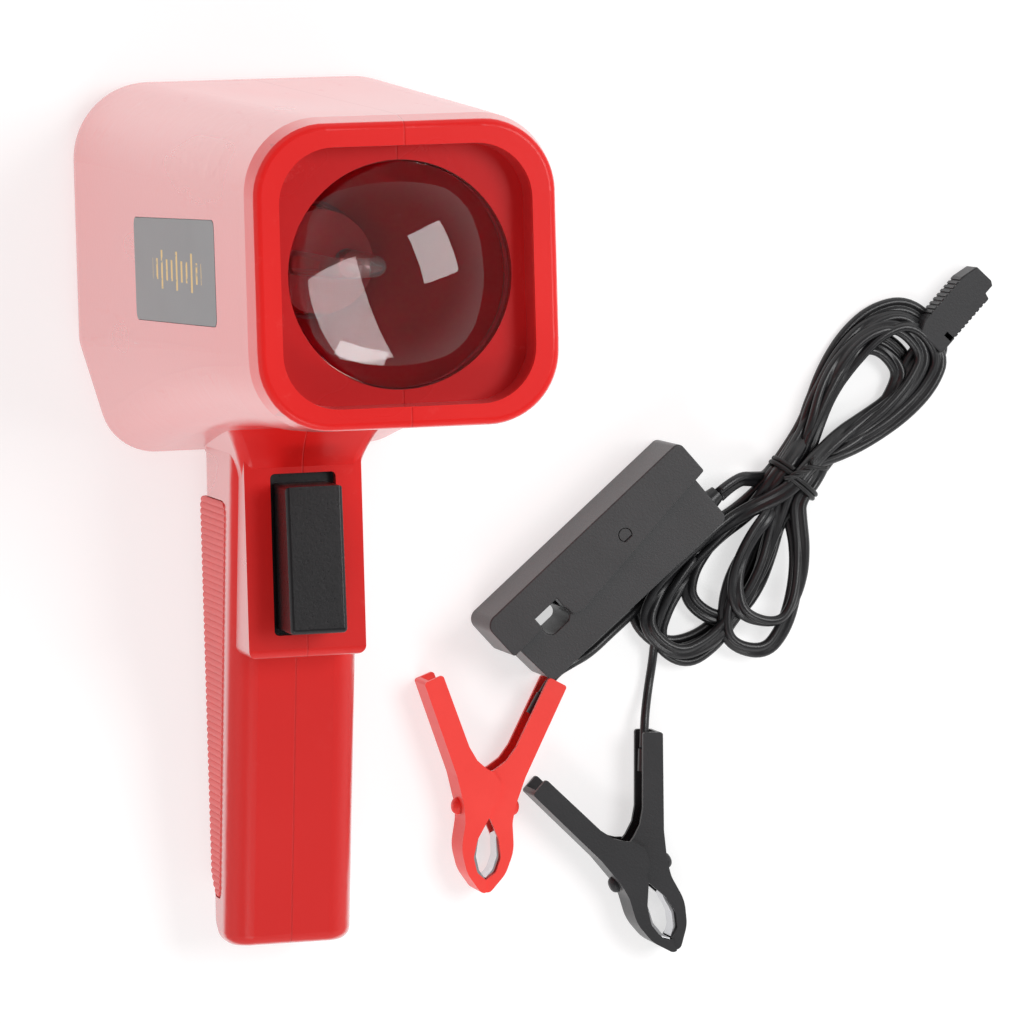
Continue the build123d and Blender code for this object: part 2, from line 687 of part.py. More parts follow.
with BuildPart() as pickup_body:
    with BuildSketch(clamp_level(BODY_LOW)):
        with BuildLine():
            FilletPolyline((2.6, -JAW_V - 0.25), (25.3, -JAW_V - 0.25), (25.3, -3.6),
                           (44.0, -3.6), (68.4, -8.2), (68.0, -CLAMP_W), (3.6, -CLAMP_W + 0.4),
                           radius=[0.4, 0.4, 1.0, 3.0, 0.8, 2.0, 2.6], close=True)
        make_face()
    extrude(amount=BODY_HIGH - BODY_LOW)
    with BuildSketch(clamp_level(BODY_LOW)):
        with Locations((sum(WINDOW_U) / 2, -(JAW_V + WINDOW_V[1]) / 2 + 1)):
            RectangleRounded(WINDOW_U[1] - WINDOW_U[0], WINDOW_V[1] - JAW_V + 2, 2.0)
    extrude(amount=BODY_HIGH - BODY_LOW, mode=Mode.SUBTRACT)
    with BuildSketch(clamp_level(BODY_LOW)):
        with Locations((CLAMP_PIN[0], -CLAMP_PIN[1])):
            Circle(CLAMP_PIN_R + 0.1)
    extrude(amount=BODY_HIGH - BODY_LOW, mode=Mode.SUBTRACT)
    # pockets for the core half and its winding
    with BuildSketch(clamp_level(4.0)):
        with Locations((15.0, -17.2)):
            Rectangle(17.2, 11.0)
        with Locations((15.0, -13.3)):
            RectangleRounded(WINDOW_U[1] - WINDOW_U[0] + 2, WINDOW_V[1] - JAW_V + 2, 2.0,
                             mode=Mode.SUBTRACT)
    extrude(amount=CLAMP_H - 8.0, mode=Mode.SUBTRACT)
    # bore for the cord and pocket for the return spring
    with BuildSketch(clamp_end(GLAND_MOUTH + 1)):
        Circle(2.3)
    extrude(amount=-9.0, mode=Mode.SUBTRACT)
    with BuildSketch(clamp_level(5.0)):
        with Locations((44.0, -CLAMP_PIN[1])):
            Circle(4.4)
        with Locations((46.0, -5.4)):
            Rectangle(14.0, 6.4)
    extrude(amount=CLAMP_H - 10.0, mode=Mode.SUBTRACT)
    fillet(pickup_body.faces().sort_by(Axis.Z)[-1].edges().filter_by(GeomType.LINE), radius=0.4)
save(pickup_body, "pickup_body")


def core_half(outer_v, inner_v, legs_v):
    """U-shaped ferrite half round the window, with its two pole faces at legs_v."""
    with BuildPart() as core:
        with BuildSketch(clamp_level(4.2)):
            with BuildLine():
                Polyline((6.6, -legs_v), (6.6, -outer_v), (23.4, -outer_v), (23.4, -legs_v),
                         (20.2, -legs_v), (20.2, -inner_v), (9.8, -inner_v), (9.8, -legs_v),
                         close=True)
            make_face()
        extrude(amount=CLAMP_H - 8.4)
    return core


save(core_half(4.1, 7.0, 11.3), "core_upper")
save(core_half(19.6, 16.6, 11.9), "core_lower")

with BuildPart() as pickup_coil:
    with BuildSketch(Plane(origin=clamp_level(10.0).from_local_coords((11.2, -18.1, 0)),
                           z_dir=CLAMP_BASE.x_dir)):
        Rectangle(8.6, 14.4)
        Rectangle(3.3, 11.8, mode=Mode.SUBTRACT)
    extrude(amount=7.6)
    with BuildSketch(clamp_level(3.0)):
        with Locations((15.0, -13.3)):
            RectangleRounded(WINDOW_U[1] - WINDOW_U[0] + 2.4, WINDOW_V[1] - JAW_V + 2.4, 2.2)
    extrude(amount=CLAMP_H, mode=Mode.SUBTRACT)
    with BuildSketch(clamp_level(4.1)):
        with Locations((15.0, -17.2)):
            Rectangle(16.8, 10.8)
    extrude(amount=CLAMP_H - 8.2, mode=Mode.INTERSECT)
save(pickup_coil, "pickup_coil")

with BuildPart() as pickup_pin:
    extrude(pin_section(0.1, 0.0), amount=CLAMP_H - 0.2)
save(pickup_pin, "pickup_pin")


def torsion_spring(base, centre, low, high, coil_r, wire_r, turns, leg):
    """Coil round a pivot pin with two straight legs that leave it along the base's y axis."""
    height = high - low
    frame = Plane(origin=base.offset(low).from_local_coords((*centre, 0)),
                  x_dir=-base.x_dir, z_dir=base.z_dir)
    with BuildPart() as spring:
        with BuildLine(frame) as path:
            Helix(pitch=height / turns, height=height, radius=coil_r)
        with BuildSketch(Plane(origin=path.line @ 0, z_dir=path.line % 0)):
            Circle(wire_r)
        sweep(path=path.line, is_frenet=True)
        for end in (path.line @ 0, path.line @ 1):
            with BuildSketch(Plane(origin=end, z_dir=base.y_dir)):
                Circle(wire_r)
            extrude(amount=leg)
    return spring


PICKUP_PIVOT = (CLAMP_PIN[0], -CLAMP_PIN[1])
save(torsion_spring(CLAMP_BASE, PICKUP_PIVOT, 6.0, 14.0, 2.9, 0.45, 3.5, 3.6), "pickup_spring")

with BuildPart() as pickup_gland:
    with BuildSketch(clamp_end(GLAND_MOUTH)):
        Circle(2.25)
    extrude(amount=-7.0)
    with BuildSketch(clamp_end(GLAND_MOUTH + 0.5)):
        Circle(2.25)
    extrude(amount=-0.5)
    with BuildSketch(clamp_end(GLAND_MOUTH + 0.5)):
        Circle(2.9)
    with BuildSketch(clamp_end(GLAND_MOUTH + GLAND_OUT)):
        Circle(2.2)
    loft()
save(pickup_gland, "pickup_gland")

# ================================================================ battery clips
OUTER_CHEEK = 1.1
INNER_LOW = OUTER_CHEEK + 0.1
INNER_HIGH = CLIP_H - INNER_LOW
INNER_CHEEK = 1.2
CLIP_PIN_R = 1.6
RIVET_R = 2.3
RIVET_HEAD = 2.0
RIVET_ROUND = 1.7
# outer edge from the handle's end to the jaw's tip, then the inner edge back up, right half
HALF_OUTER = ((19.8, 28.9), (9.6, 4.4), (7.2, -3.6), (6.6, -8.0), (7.4, -15.4), (5.4, -21.8),
              (1.4, -26.8), (0.1, -26.8))
HALF_INNER = ((0.1, -23.4), (2.7, -21.4), (3.9, -17.4), (3.0, -12.4), (0.12, -6.6))
HANDLE_INNER = ((4.2, 8.6), (6.6, 12.2), (14.8, 31.2))
CHANNEL = ((18.4, 36.0), (18.4, 29.6), (8.0, 4.8), (5.6, -3.6), (5.0, -8.0), (5.8, -15.4),
           (4.0, -20.8), (0.8, -24.8), (-12.0, -24.8), (-12.0, 36.0))


LEVER_EAR = [(0.5, -4.2), (2.4, -1.8), (2.8, 2.4), (0.4, 5.6), (-1.4, 6.4)]
BASE_EAR = [(-1.2, -5.4), (-4.4, -2.4), (-4.4, 2.4), (-1.2, 5.0), (1.2, 6.2)]


def clip_base(pose):
    """Table-level plane of a clip: y towards the handles, origin on the pivot."""
    x, y, turn = pose
    a = radians(turn)
    return Plane(origin=(x, y, 0), x_dir=(cos(a), sin(a), 0), z_dir=(0, 0, 1))


def mirrored(points, side):
    """Points of the right half, or their mirror image on the left."""
    return [(side * x, y) for x, y in points]


def half_outline(plane, side, ear):
    """Outline of one half with its pivot ear."""
    points = mirrored(HALF_OUTER + HALF_INNER, side) + ear + mirrored(HANDLE_INNER, side)
    radii = [0.8, 8.0, 5.0, 8.0, 12.0, 9.0, 1.8, 0.3, 0.3, 1.5, 3.0, 5.0, 0.1]
    radii += [1.2] * len(ear) + [1.5, 2.0, 0.8]
    with BuildSketch(plane) as outline:
        with BuildLine():
            FilletPolyline(*points, radius=radii, close=True)
        make_face()
    return outline.sketch


def jaw_strip(plane, side):
    """Thin sheet-metal jaw that lines one side of the opening."""
    centre = mirrored(((5.1, -1.6), (4.5, -7.0), (2.9, -12.2), (3.4, -17.2), (2.3, -21.0),
                       (0.55, -23.2)), side)
    with BuildSketch(plane) as strip:
        with BuildLine():
            FilletPolyline(*centre, radius=[3.0, 3.0, 3.0, 2.0])
        trace(line_width=0.7)
    return strip.sketch


def battery_clip(pose, colour):
    """All the pieces of one clip: two halves, jaws, rivets, pivot pin and spring."""
    base = clip_base(pose)
    rivets = {}
    for side in (-1, 1):
        wall = base.offset(CLIP_H / 2).from_local_coords((side * 7.2, -4.2, 0))
        with BuildPart() as rivet:
            with BuildSketch(Plane(origin=wall, z_dir=base.x_dir * side)):
                Circle(RIVET_R)
            extrude(amount=RIVET_HEAD)
            outward = Axis(wall, base.x_dir * side)
            outer_face = rivet.faces().filter_by(GeomType.PLANE).sort_by(outward)[-1]
            fillet(outer_face.edges(), radius=RIVET_ROUND)
            with BuildSketch(Plane(origin=wall, z_dir=base.x_dir * side)):
                Circle(0.9)
            extrude(amount=-1.8)
        rivets[side] = rivet
    with BuildPart() as outer_half:
        extrude(half_outline(base, -1, LEVER_EAR), amount=CLIP_H)
        with BuildSketch(base.offset(OUTER_CHEEK)):
            Polygon(*mirrored(CHANNEL, -1), align=None)
        extrude(amount=CLIP_H - 2 * OUTER_CHEEK, mode=Mode.SUBTRACT)
        with BuildSketch(base.offset(0.5)):
            Circle(CLIP_PIN_R)
        extrude(amount=CLIP_H - 1.0, mode=Mode.SUBTRACT)
        add(rivets[-1].part, mode=Mode.SUBTRACT)
    with BuildPart() as inner_half:
        extrude(half_outline(base.offset(INNER_LOW), 1, BASE_EAR), amount=INNER_HIGH - INNER_LOW)
        with BuildSketch(base.offset(INNER_LOW + INNER_CHEEK)):
            Polygon(*mirrored(CHANNEL, 1), align=None)
        extrude(amount=INNER_HIGH - INNER_LOW - 2 * INNER_CHEEK, mode=Mode.SUBTRACT)
        with BuildSketch(base):
            Circle(CLIP_PIN_R + 0.05)
        extrude(amount=CLIP_H, mode=Mode.SUBTRACT)
        add(rivets[1].part, mode=Mode.SUBTRACT)
    with BuildPart() as outer_jaw:
        extrude(jaw_strip(base.offset(OUTER_CHEEK + 0.1), -1),
                amount=CLIP_H - 2 * OUTER_CHEEK - 0.2)
    with BuildPart() as inner_jaw:
        extrude(jaw_strip(base.offset(INNER_LOW + INNER_CHEEK + 0.1), 1),
                amount=INNER_HIGH - INNER_LOW - 2 * INNER_CHEEK - 0.2)
    with BuildPart() as pivot:
        with BuildSketch(base.offset(0.5)):
            Circle(CLIP_PIN_R)
        extrude(amount=CLIP_H - 1.0)
    spring = torsion_spring(base, (0, 0), 3.4, 8.2, 2.35, 0.4, 3.5, 4.6)
    save(outer_half, f"{colour}_clip_lever")
    save(inner_half, f"{colour}_clip_base")
    save(outer_jaw, f"{colour}_lever_jaw")
    save(inner_jaw, f"{colour}_base_jaw")
    save(pivot, f"{colour}_clip_pin")
    save(spring, f"{colour}_clip_spring")
    save(rivets[-1], f"{colour}_lever_rivet")
    save(rivets[1], f"{colour}_base_rivet")


battery_clip(RED_CLIP, "red")
battery_clip(BLACK_CLIP, "black")

# ================================================================ plug
PLUG_H = 8.0
PLUG_BASE = Plane(
    origin=(PLUG_TAIL[0], PLUG_TAIL[1], 0),
    x_dir=(cos(radians(PLUG_ANGLE)), sin(radians(PLUG_ANGLE)), 0),
    z_dir=(0, 0, 1),
)
with BuildPart() as plug_body:
    with BuildSketch(PLUG_BASE):
        with BuildLine():
            FilletPolyline((-0.8, 3.4), (2.6, 4.9), (18.4, 4.9), (23.2, 3.6), (23.2, -2.0),
                           (22.4, -3.2), (19.6, -3.2), (19.1, -4.9), (-0.8, -4.9),
                           radius=[0.6, 1.2, 0.8, 0.5, 0.5, 0.4, 0.3, 0.6, 1.0],
                           close=True)
        make_face()
    extrude(amount=PLUG_H)
    fillet(plug_body.faces().sort_by(Axis.Z)[-1].edges().filter_by(GeomType.LINE), radius=0.4)
    with BuildSketch(PLUG_BASE):
        for step in range(9):
            for side in (-1, 1):
                with Locations((5.0 + 1.5 * step, side * 5.0)):
                    Rectangle(0.7, 0.9)
        with Locations((4.0, -3.2)):
            Rectangle(1.4, 2.4)
    extrude(amount=PLUG_H, mode=Mode.SUBTRACT)
    with BuildSketch(Plane(origin=PLUG_BASE.offset(PLUG_H / 2).from_local_coords((23.4, 0.6, 0)),
                           x_dir=PLUG_BASE.y_dir, z_dir=PLUG_BASE.x_dir)):
        with GridLocations(2.2, 1.0, 3, 1):
            Circle(0.75)
    extrude(amount=-7.0, mode=Mode.SUBTRACT)
save(plug_body, "plug_body")

with BuildPart() as plug_contacts:
    with BuildSketch(Plane(origin=PLUG_BASE.offset(PLUG_H / 2).from_local_coords((16.5, 0.6, 0)),
                           x_dir=PLUG_BASE.y_dir, z_dir=PLUG_BASE.x_dir)):
        with GridLocations(2.2, 1.0, 3, 1):
            Circle(0.7)
            Circle(0.45, mode=Mode.SUBTRACT)
    extrude(amount=6.0)
save(plug_contacts, "plug_contacts")

# ================================================================ hank and cords
TIE = (146.5, -66.6)
TIE_ANGLE = 51.0
HANK_OUTLINE = (
    (142.3, -60.5), (148.2, -46.5), (154.5, -34.0), (166.0, -26.6), (178.0, -23.8),
    (188.4, -26.0), (189.6, -33.5), (184.0, -44.9), (175.0, -53.6), (160.5, -63.4),
    (151.0, -72.3), (146.6, -81.5), (145.8, -93.0), (140.8, -104.0), (133.6, -112.0),
    (123.0, -111.6), (113.0, -113.4), (105.4, -105.6), (105.2, -100.2), (113.0, -92.0),
    (121.4, -82.4), (127.2, -73.4),
)
UPPER_HOLE = ((168.6, -34.2), (174.0, -34.8), (172.6, -38.6), (164.0, -47.6), (158.4, -51.8),
              (160.2, -45.4))
LOWER_HOLE = ((132.4, -84.4), (126.0, -91.6), (123.9, -97.2), (128.8, -94.2))
PLUG_KEEP_OUT = 0.4

with BuildPart() as cord_hank:
    with BuildSketch(Plane.XY):
        with BuildLine():
            Spline(*HANK_OUTLINE, periodic=True)
        make_face()
        for hole in (UPPER_HOLE, LOWER_HOLE):
            with BuildLine():
                Spline(*hole, periodic=True)
            make_face(mode=Mode.SUBTRACT)
    extrude(amount=HANK_H)
    fillet(cord_hank.faces().sort_by(Axis.Z)[-1].outer_wire().edges(), radius=2.4)
    with BuildSketch(PLUG_BASE):
        with Locations((11.2, 0)):
            Rectangle(24.0 + 2 * PLUG_KEEP_OUT, 9.8 + 2 * PLUG_KEEP_OUT)
    extrude(amount=HANK_H + 1, mode=Mode.SUBTRACT)
    with BuildSketch(clamp_level(0)):
        with Locations((34.0, -14.0)):
            Rectangle(80.0, 28.6)
    extrude(amount=HANK_H + 1, mode=Mode.SUBTRACT)
save(cord_hank, "cord_hank")

with BuildPart() as twist_tie:
    tie_plane = Plane(origin=(TIE[0], TIE[1], 5.1),
                      x_dir=(-sin(radians(TIE_ANGLE)), cos(radians(TIE_ANGLE)), 0),
                      z_dir=(cos(radians(TIE_ANGLE)), sin(radians(TIE_ANGLE)), 0))
    with BuildSketch(tie_plane.offset(-0.9)):
        RectangleRounded(16.4, 10.1, 4.0)
        RectangleRounded(14.0, 8.0, 3.2, mode=Mode.SUBTRACT)
    extrude(amount=1.8)
save(twist_tie, "twist_tie")

PLUG_AXIS = PLUG_BASE.offset(PLUG_H / 2)
PLUG_CORD = (tuple(PLUG_AXIS.from_local_coords((-0.85, 0, 0))),
             tuple(PLUG_AXIS.from_local_coords((-5.8, 0, 0))), (177.2, -40.0, 4.2))
save_tube(PLUG_CORD, CORD_D, "plug_cord")

PICKUP_CORD = (tuple(clamp_end(GLAND_MOUTH + GLAND_OUT).origin), (131.6, -65.0, 7.6),
               (138.2, -61.6, 7.0))
save_tube(PICKUP_CORD, CORD_D, "pickup_cord")

RED_WIRE = ((121.0, -84.6, 3.6), (113.4, -91.4, 2.8), (104.8, -98.9, 2.0), (96.2, -106.0, 1.8),
            (89.2, -111.4, 3.4), (84.0, -113.4, 5.4), (78.1, -116.4, 5.8), (75.1, -121.4, 5.8))
save_tube(RED_WIRE, WIRE_D, "red_wire")

BLACK_WIRE = ((118.5, -86.8, 8.4), (113.0, -93.1, 10.6), (108.7, -100.1, 10.4),
              (107.3, -107.2, 7.0), (107.0, -114.4, 3.4), (105.7, -121.0, 3.2),
              (104.1, -126.9, 5.2), (103.3, -131.5, 5.8), (103.0, -137.5, 5.8))
save_tube(BLACK_WIRE, WIRE_D, "black_wire")

for wire, name in ((RED_WIRE, "red_terminal"), (BLACK_WIRE, "black_terminal")):
    last_run = (Vector(*wire[-1]) - Vector(*wire[-2])).normalized()
    with BuildPart() as terminal:
        with BuildSketch(Plane(origin=wire[-1], z_dir=last_run)):
            Circle(1.5)
        extrude(amount=6.0)
    save(terminal, name)
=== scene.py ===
"""Looks of the inductive timing light: a strobe gun on its tail, with its lead set beside it.

Lengths are written in millimetres and scaled once, when a mesh or curve is made. Names that end
in _M are in metres.
"""

import json
import math

import bpy
import bmesh
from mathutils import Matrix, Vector


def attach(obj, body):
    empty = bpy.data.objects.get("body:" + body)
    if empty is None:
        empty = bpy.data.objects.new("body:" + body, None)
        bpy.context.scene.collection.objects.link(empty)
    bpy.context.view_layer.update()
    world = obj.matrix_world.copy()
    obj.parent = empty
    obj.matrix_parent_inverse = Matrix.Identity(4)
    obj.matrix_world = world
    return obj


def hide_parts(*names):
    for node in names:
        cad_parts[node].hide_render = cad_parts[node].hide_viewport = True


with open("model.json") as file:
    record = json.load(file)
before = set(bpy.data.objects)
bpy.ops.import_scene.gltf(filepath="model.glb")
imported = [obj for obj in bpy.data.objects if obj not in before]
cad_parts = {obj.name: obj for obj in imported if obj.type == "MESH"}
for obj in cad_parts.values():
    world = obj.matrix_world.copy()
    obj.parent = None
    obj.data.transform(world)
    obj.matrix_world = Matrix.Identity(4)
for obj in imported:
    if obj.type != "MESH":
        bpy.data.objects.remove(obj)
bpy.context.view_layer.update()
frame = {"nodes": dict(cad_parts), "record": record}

MM = 0.001
ROOT = "timing_light"


# ------------------------------------------------------------------------------ camera and light
CAMERA_LENS = 222.5
CAMERA_SENSOR = 36.0
CAMERA_PLACE = Vector((-357.4, 70.66, 1630.1))
CAMERA_TURN = (-4.466, -14.803, -1.546)     # degrees about X, Y and Z
CAMERA_REACH_M = 20.0

HORIZON_LIGHT = 1.42
ZENITH_LIGHT = 0.27
SKY_FADE = (0.25, 0.80)    # how steeply upwards the fade from one to the other starts and ends


def make_camera():
    """Long lens above the gun, a little to the side of the beam's axis."""
    data = bpy.data.cameras.new("camera")
    data.lens = CAMERA_LENS
    data.sensor_width = CAMERA_SENSOR
    data.clip_end = CAMERA_REACH_M
    camera = bpy.data.objects.new("camera", data)
    camera.location = CAMERA_PLACE * MM
    camera.rotation_euler = [math.radians(a) for a in CAMERA_TURN]
    bpy.context.collection.objects.link(camera)
    bpy.context.scene.camera = camera


def area_light(name, place, target, size, power):
    """Soft rectangular lamp that points at a target; its power is in watts."""
    data = bpy.data.lights.new(name, "AREA")
    data.shape = "RECTANGLE"
    data.size, data.size_y = size[0] * MM, size[1] * MM
    data.energy = power
    lamp = bpy.data.objects.new(name, data)
    lamp.location = Vector(place) * MM
    aim = (Vector(target) - Vector(place)).normalized()
    lamp.rotation_euler = aim.to_track_quat("-Z", "Y").to_euler()
    bpy.context.collection.objects.link(lamp)


def make_world():
    """White surroundings, brighter towards the walls than overhead."""
    world = bpy.data.worlds.new("studio")
    world.use_nodes = True
    tree = world.node_tree
    background = tree.nodes["Background"]
    background.inputs["Color"].default_value = (1.0, 1.0, 1.0, 1.0)
    coords = tree.nodes.new("ShaderNodeTexCoord")
    parts = tree.nodes.new("ShaderNodeSeparateXYZ")
    fade = tree.nodes.new("ShaderNodeMapRange")
    fade.interpolation_type = "SMOOTHSTEP"
    for name, number in (("From Min", SKY_FADE[0]), ("From Max", SKY_FADE[1]),
                         ("To Min", HORIZON_LIGHT), ("To Max", ZENITH_LIGHT)):
        fade.inputs[name].default_value = number
    tree.links.new(coords.outputs["Generated"], parts.inputs[0])
    tree.links.new(parts.outputs["Z"], fade.inputs["Value"])
    tree.links.new(fade.outputs["Result"], background.inputs["Strength"])
    bpy.context.scene.world = world


# ------------------------------------------------------------------------------ node helpers
class Paint:
    """A node material built step by step around one Principled shader."""

    def __init__(self, name):
        self.material = bpy.data.materials.new(name)
        self.material.use_nodes = True
        self.tree = self.material.node_tree
        self.nodes = self.tree.nodes
        self.shader = self.nodes["Principled BSDF"]
        self.coords = self.nodes.new("ShaderNodeTexCoord").outputs["Object"]

    def link(self, source, target):
        self.tree.links.new(source, target)

    def put(self, name, value):
        """Set a shader input to a number, a colour or another node's output."""
        socket = self.shader.inputs[name]
        if isinstance(value, bpy.types.NodeSocket):
            self.link(value, socket)
        elif isinstance(value, tuple) and socket.type == "RGBA":
            socket.default_value = (*value, 1.0)
        else:
            socket.default_value = value

    def math(self, operation, a, b=None):
        """Result of a Math node on numbers or other nodes' outputs."""
        node = self.nodes.new("ShaderNodeMath")
        node.operation = operation
        for socket, value in zip(node.inputs, (a, b)):
            if isinstance(value, bpy.types.NodeSocket):
                self.link(value, socket)
            elif value is not None:
                socket.default_value = value
        return node.outputs[0]

    def spread(self, value, low, high, out_low=0.0, out_high=1.0):
        """Clamped smooth remap of a value."""
        node = self.nodes.new("ShaderNodeMapRange")
        node.interpolation_type = "SMOOTHSTEP"
        self.link(value, node.inputs["Value"])
        for name, number in (("From Min", low), ("From Max", high),
                             ("To Min", out_low), ("To Max", out_high)):
            node.inputs[name].default_value = number
        return node.outputs["Result"]

    def noise(self, size_mm, detail=3.0, rough=0.5, stretch=(1.0, 1.0, 1.0)):
        """Noise whose blobs are about size_mm across, from 0 to 1."""
        mapping = self.nodes.new("ShaderNodeMapping")
        mapping.inputs["Scale"].default_value = stretch
        self.link(self.coords, mapping.inputs["Vector"])
        node = self.nodes.new("ShaderNodeTexNoise")
        node.inputs["Scale"].default_value = 1.0 / (size_mm * MM)
        node.inputs["Detail"].default_value = detail
        node.inputs["Roughness"].default_value = rough
        self.link(mapping.outputs[0], node.inputs["Vector"])
        return node.outputs["Fac"]

    def cells(self, size_mm):
        """Distance to the middle of small cells, for a pebbled surface."""
        node = self.nodes.new("ShaderNodeTexVoronoi")
        node.inputs["Scale"].default_value = 1.0 / (size_mm * MM)
        self.link(self.coords, node.inputs["Vector"])
        return node.outputs["Distance"]

    def axis(self, name):
        """One object coordinate, in millimetres."""
        node = self.nodes.new("ShaderNodeSeparateXYZ")
        self.link(self.coords, node.inputs[0])
        return self.math("MULTIPLY", node.outputs[name], 1.0 / MM)

    def mix(self, factor, a, b):
        """Colour between a and b."""
        node = self.nodes.new("ShaderNodeMix")
        node.data_type = "RGBA"
        if isinstance(factor, bpy.types.NodeSocket):
            self.link(factor, node.inputs[0])
        else:
            node.inputs[0].default_value = factor
        for socket, value in ((node.inputs[6], a), (node.inputs[7], b)):
            if isinstance(value, bpy.types.NodeSocket):
                self.link(value, socket)
            else:
                socket.default_value = (*value, 1.0)
        return node.outputs[2]

    def bump(self, height, depth_mm, strength=1.0):
        """Bump of a given depth, chained onto any earlier one."""
        node = self.nodes.new("ShaderNodeBump")
        node.inputs["Strength"].default_value = strength
        node.inputs["Distance"].default_value = depth_mm * MM
        self.link(height, node.inputs["Height"])
        earlier = self.shader.inputs["Normal"].links
        if earlier:
            self.link(earlier[0].from_socket, node.inputs["Normal"])
        self.link(node.outputs[0], self.shader.inputs["Normal"])

    def grazing(self, low, high, top):
        """Value that rises towards surfaces seen edge on."""
        node = self.nodes.new("ShaderNodeLayerWeight")
        node.inputs["Blend"].default_value = 0.5
        return self.spread(node.outputs["Facing"], low, high, 0.0, top)


# ------------------------------------------------------------------------------ materials
SEAM_FADE = (0.05, 0.28)            # distance from the middle plane where the seam's tone fades
RECESS_SHADE_FADE = (172.6, 174.4)        # Z where the painted shade of the recess fades out
RECESS_SHADE_HALF_X = 31.9
RECESS_SHADE_HALF_Y = 32.2
GRIP_SHADE_FADE = (-120.0, -55.0)    # Y where the painted shade on the grip fades out

SCALE_MIDDLE_Z = 106.0              # printed scale of the rating plates
SCALE_HALF_LENGTH = 22.6
TICK_PITCH = 4.6
TICK_SHIFT = 0.7
TICK_SHARE = 0.34                   # part of the pitch that is printed
TICK_REACH = 2.6                    # from the middle of the scale
TALL_PITCH = 13.8                   # every third tick is a tall one
TALL_SHIFT = 5.3
TALL_SHARE = 0.33
TALL_EXTRA = 2.2


def red_shell():
    """Glossy red shell with flow marks, scuffs and its seam, with painted shade in the recess round
    the lens and on the grip.
    """
    paint = Paint("red_shell")
    flow = paint.noise(45.0, 2.0, 0.5, (1.0, 1.0, 0.35))
    scuff = paint.spread(paint.noise(7.0, 8.0, 0.7, (1.0, 1.0, 0.25)), 0.58, 0.74)
    x = paint.math("ABSOLUTE", paint.axis("X"))
    seam = paint.spread(x, *SEAM_FADE, 1.0, 0.0)
    red = paint.mix(flow, (0.59, 0.010, 0.010), (0.72, 0.018, 0.015))
    # Painted shade: the recess round the lens is painted a darker red.
    recess_shade = paint.spread(paint.axis("Z"), *RECESS_SHADE_FADE, 1.0, 0.0)
    recess_shade = paint.math("MULTIPLY", recess_shade, paint.math("LESS_THAN", x, RECESS_SHADE_HALF_X))
    y = paint.math("ABSOLUTE", paint.axis("Y"))
    recess_shade = paint.math("MULTIPLY", recess_shade, paint.math("LESS_THAN", y, RECESS_SHADE_HALF_Y))
    red = paint.mix(paint.math("MULTIPLY", recess_shade, 0.55), red, (0.36, 0.002, 0.005))
    red = paint.mix(paint.math("MULTIPLY", scuff, 0.10), red, (0.85, 0.20, 0.18))
    # Painted shade: the grip turns a darker red away from the barrel.
    print_wear_and_grip_shade = paint.spread(paint.axis("Y"), *GRIP_SHADE_FADE, 0.8, 0.0)
    red = paint.mix(print_wear_and_grip_shade, red, (0.53, 0.024, 0.022))
    red = paint.mix(paint.math("MULTIPLY", seam, 0.25), red, (0.25, 0.004, 0.004))
    paint.put("Base Color", red)
    rough = paint.math("ADD", paint.math("MULTIPLY", flow, 0.10), 0.24)
    paint.put("Roughness", paint.math("ADD", rough, paint.math("MULTIPLY", scuff, 0.10)))
    paint.put("Specular IOR Level", 0.2)
    paint.put("Coat Weight", paint.grazing(0.46, 0.80, 1.0))
    paint.put("Coat IOR", 5.0)
    paint.put("Coat Roughness", 0.24)
    paint.put("Subsurface Weight", 0.05)
    paint.put("Subsurface Radius", (0.004, 0.0008, 0.0006))
    paint.bump(paint.noise(1.4, 3.0), 0.03, 0.5)
    paint.bump(paint.math("SUBTRACT", 1.0, seam), 0.12, 0.8)
    return paint.material


def inner_red():
    """Dark translucent red of the lamp chamber."""
    paint = Paint("inner_red")
    haze = paint.noise(9.0, 4.0)
    paint.put("Base Color", paint.mix(haze, (0.42, 0.0006, 0.006), (0.66, 0.002, 0.014)))
    paint.put("Roughness", paint.math("ADD", paint.math("MULTIPLY", haze, 0.15), 0.16))
    paint.bump(paint.noise(2.2), 0.05, 0.4)
    return paint.material


def grip_pad():
    """Satin red pad with soft tone changes."""
    paint = Paint("grip_pad")
    wear = paint.noise(16.0, 5.0, 0.6)
    paint.put("Base Color", paint.mix(wear, (0.60, 0.030, 0.028), (0.72, 0.075, 0.068)))
    paint.put("Roughness", paint.math("ADD", paint.math("MULTIPLY", wear, 0.15), 0.42))
    paint.put("Coat Weight", paint.grazing(0.60, 0.95, 0.35))
    paint.put("Coat IOR", 1.6)
    paint.put("Coat Roughness", 0.35)
    paint.bump(paint.noise(0.5, 2.0), 0.03, 0.5)
    return paint.material


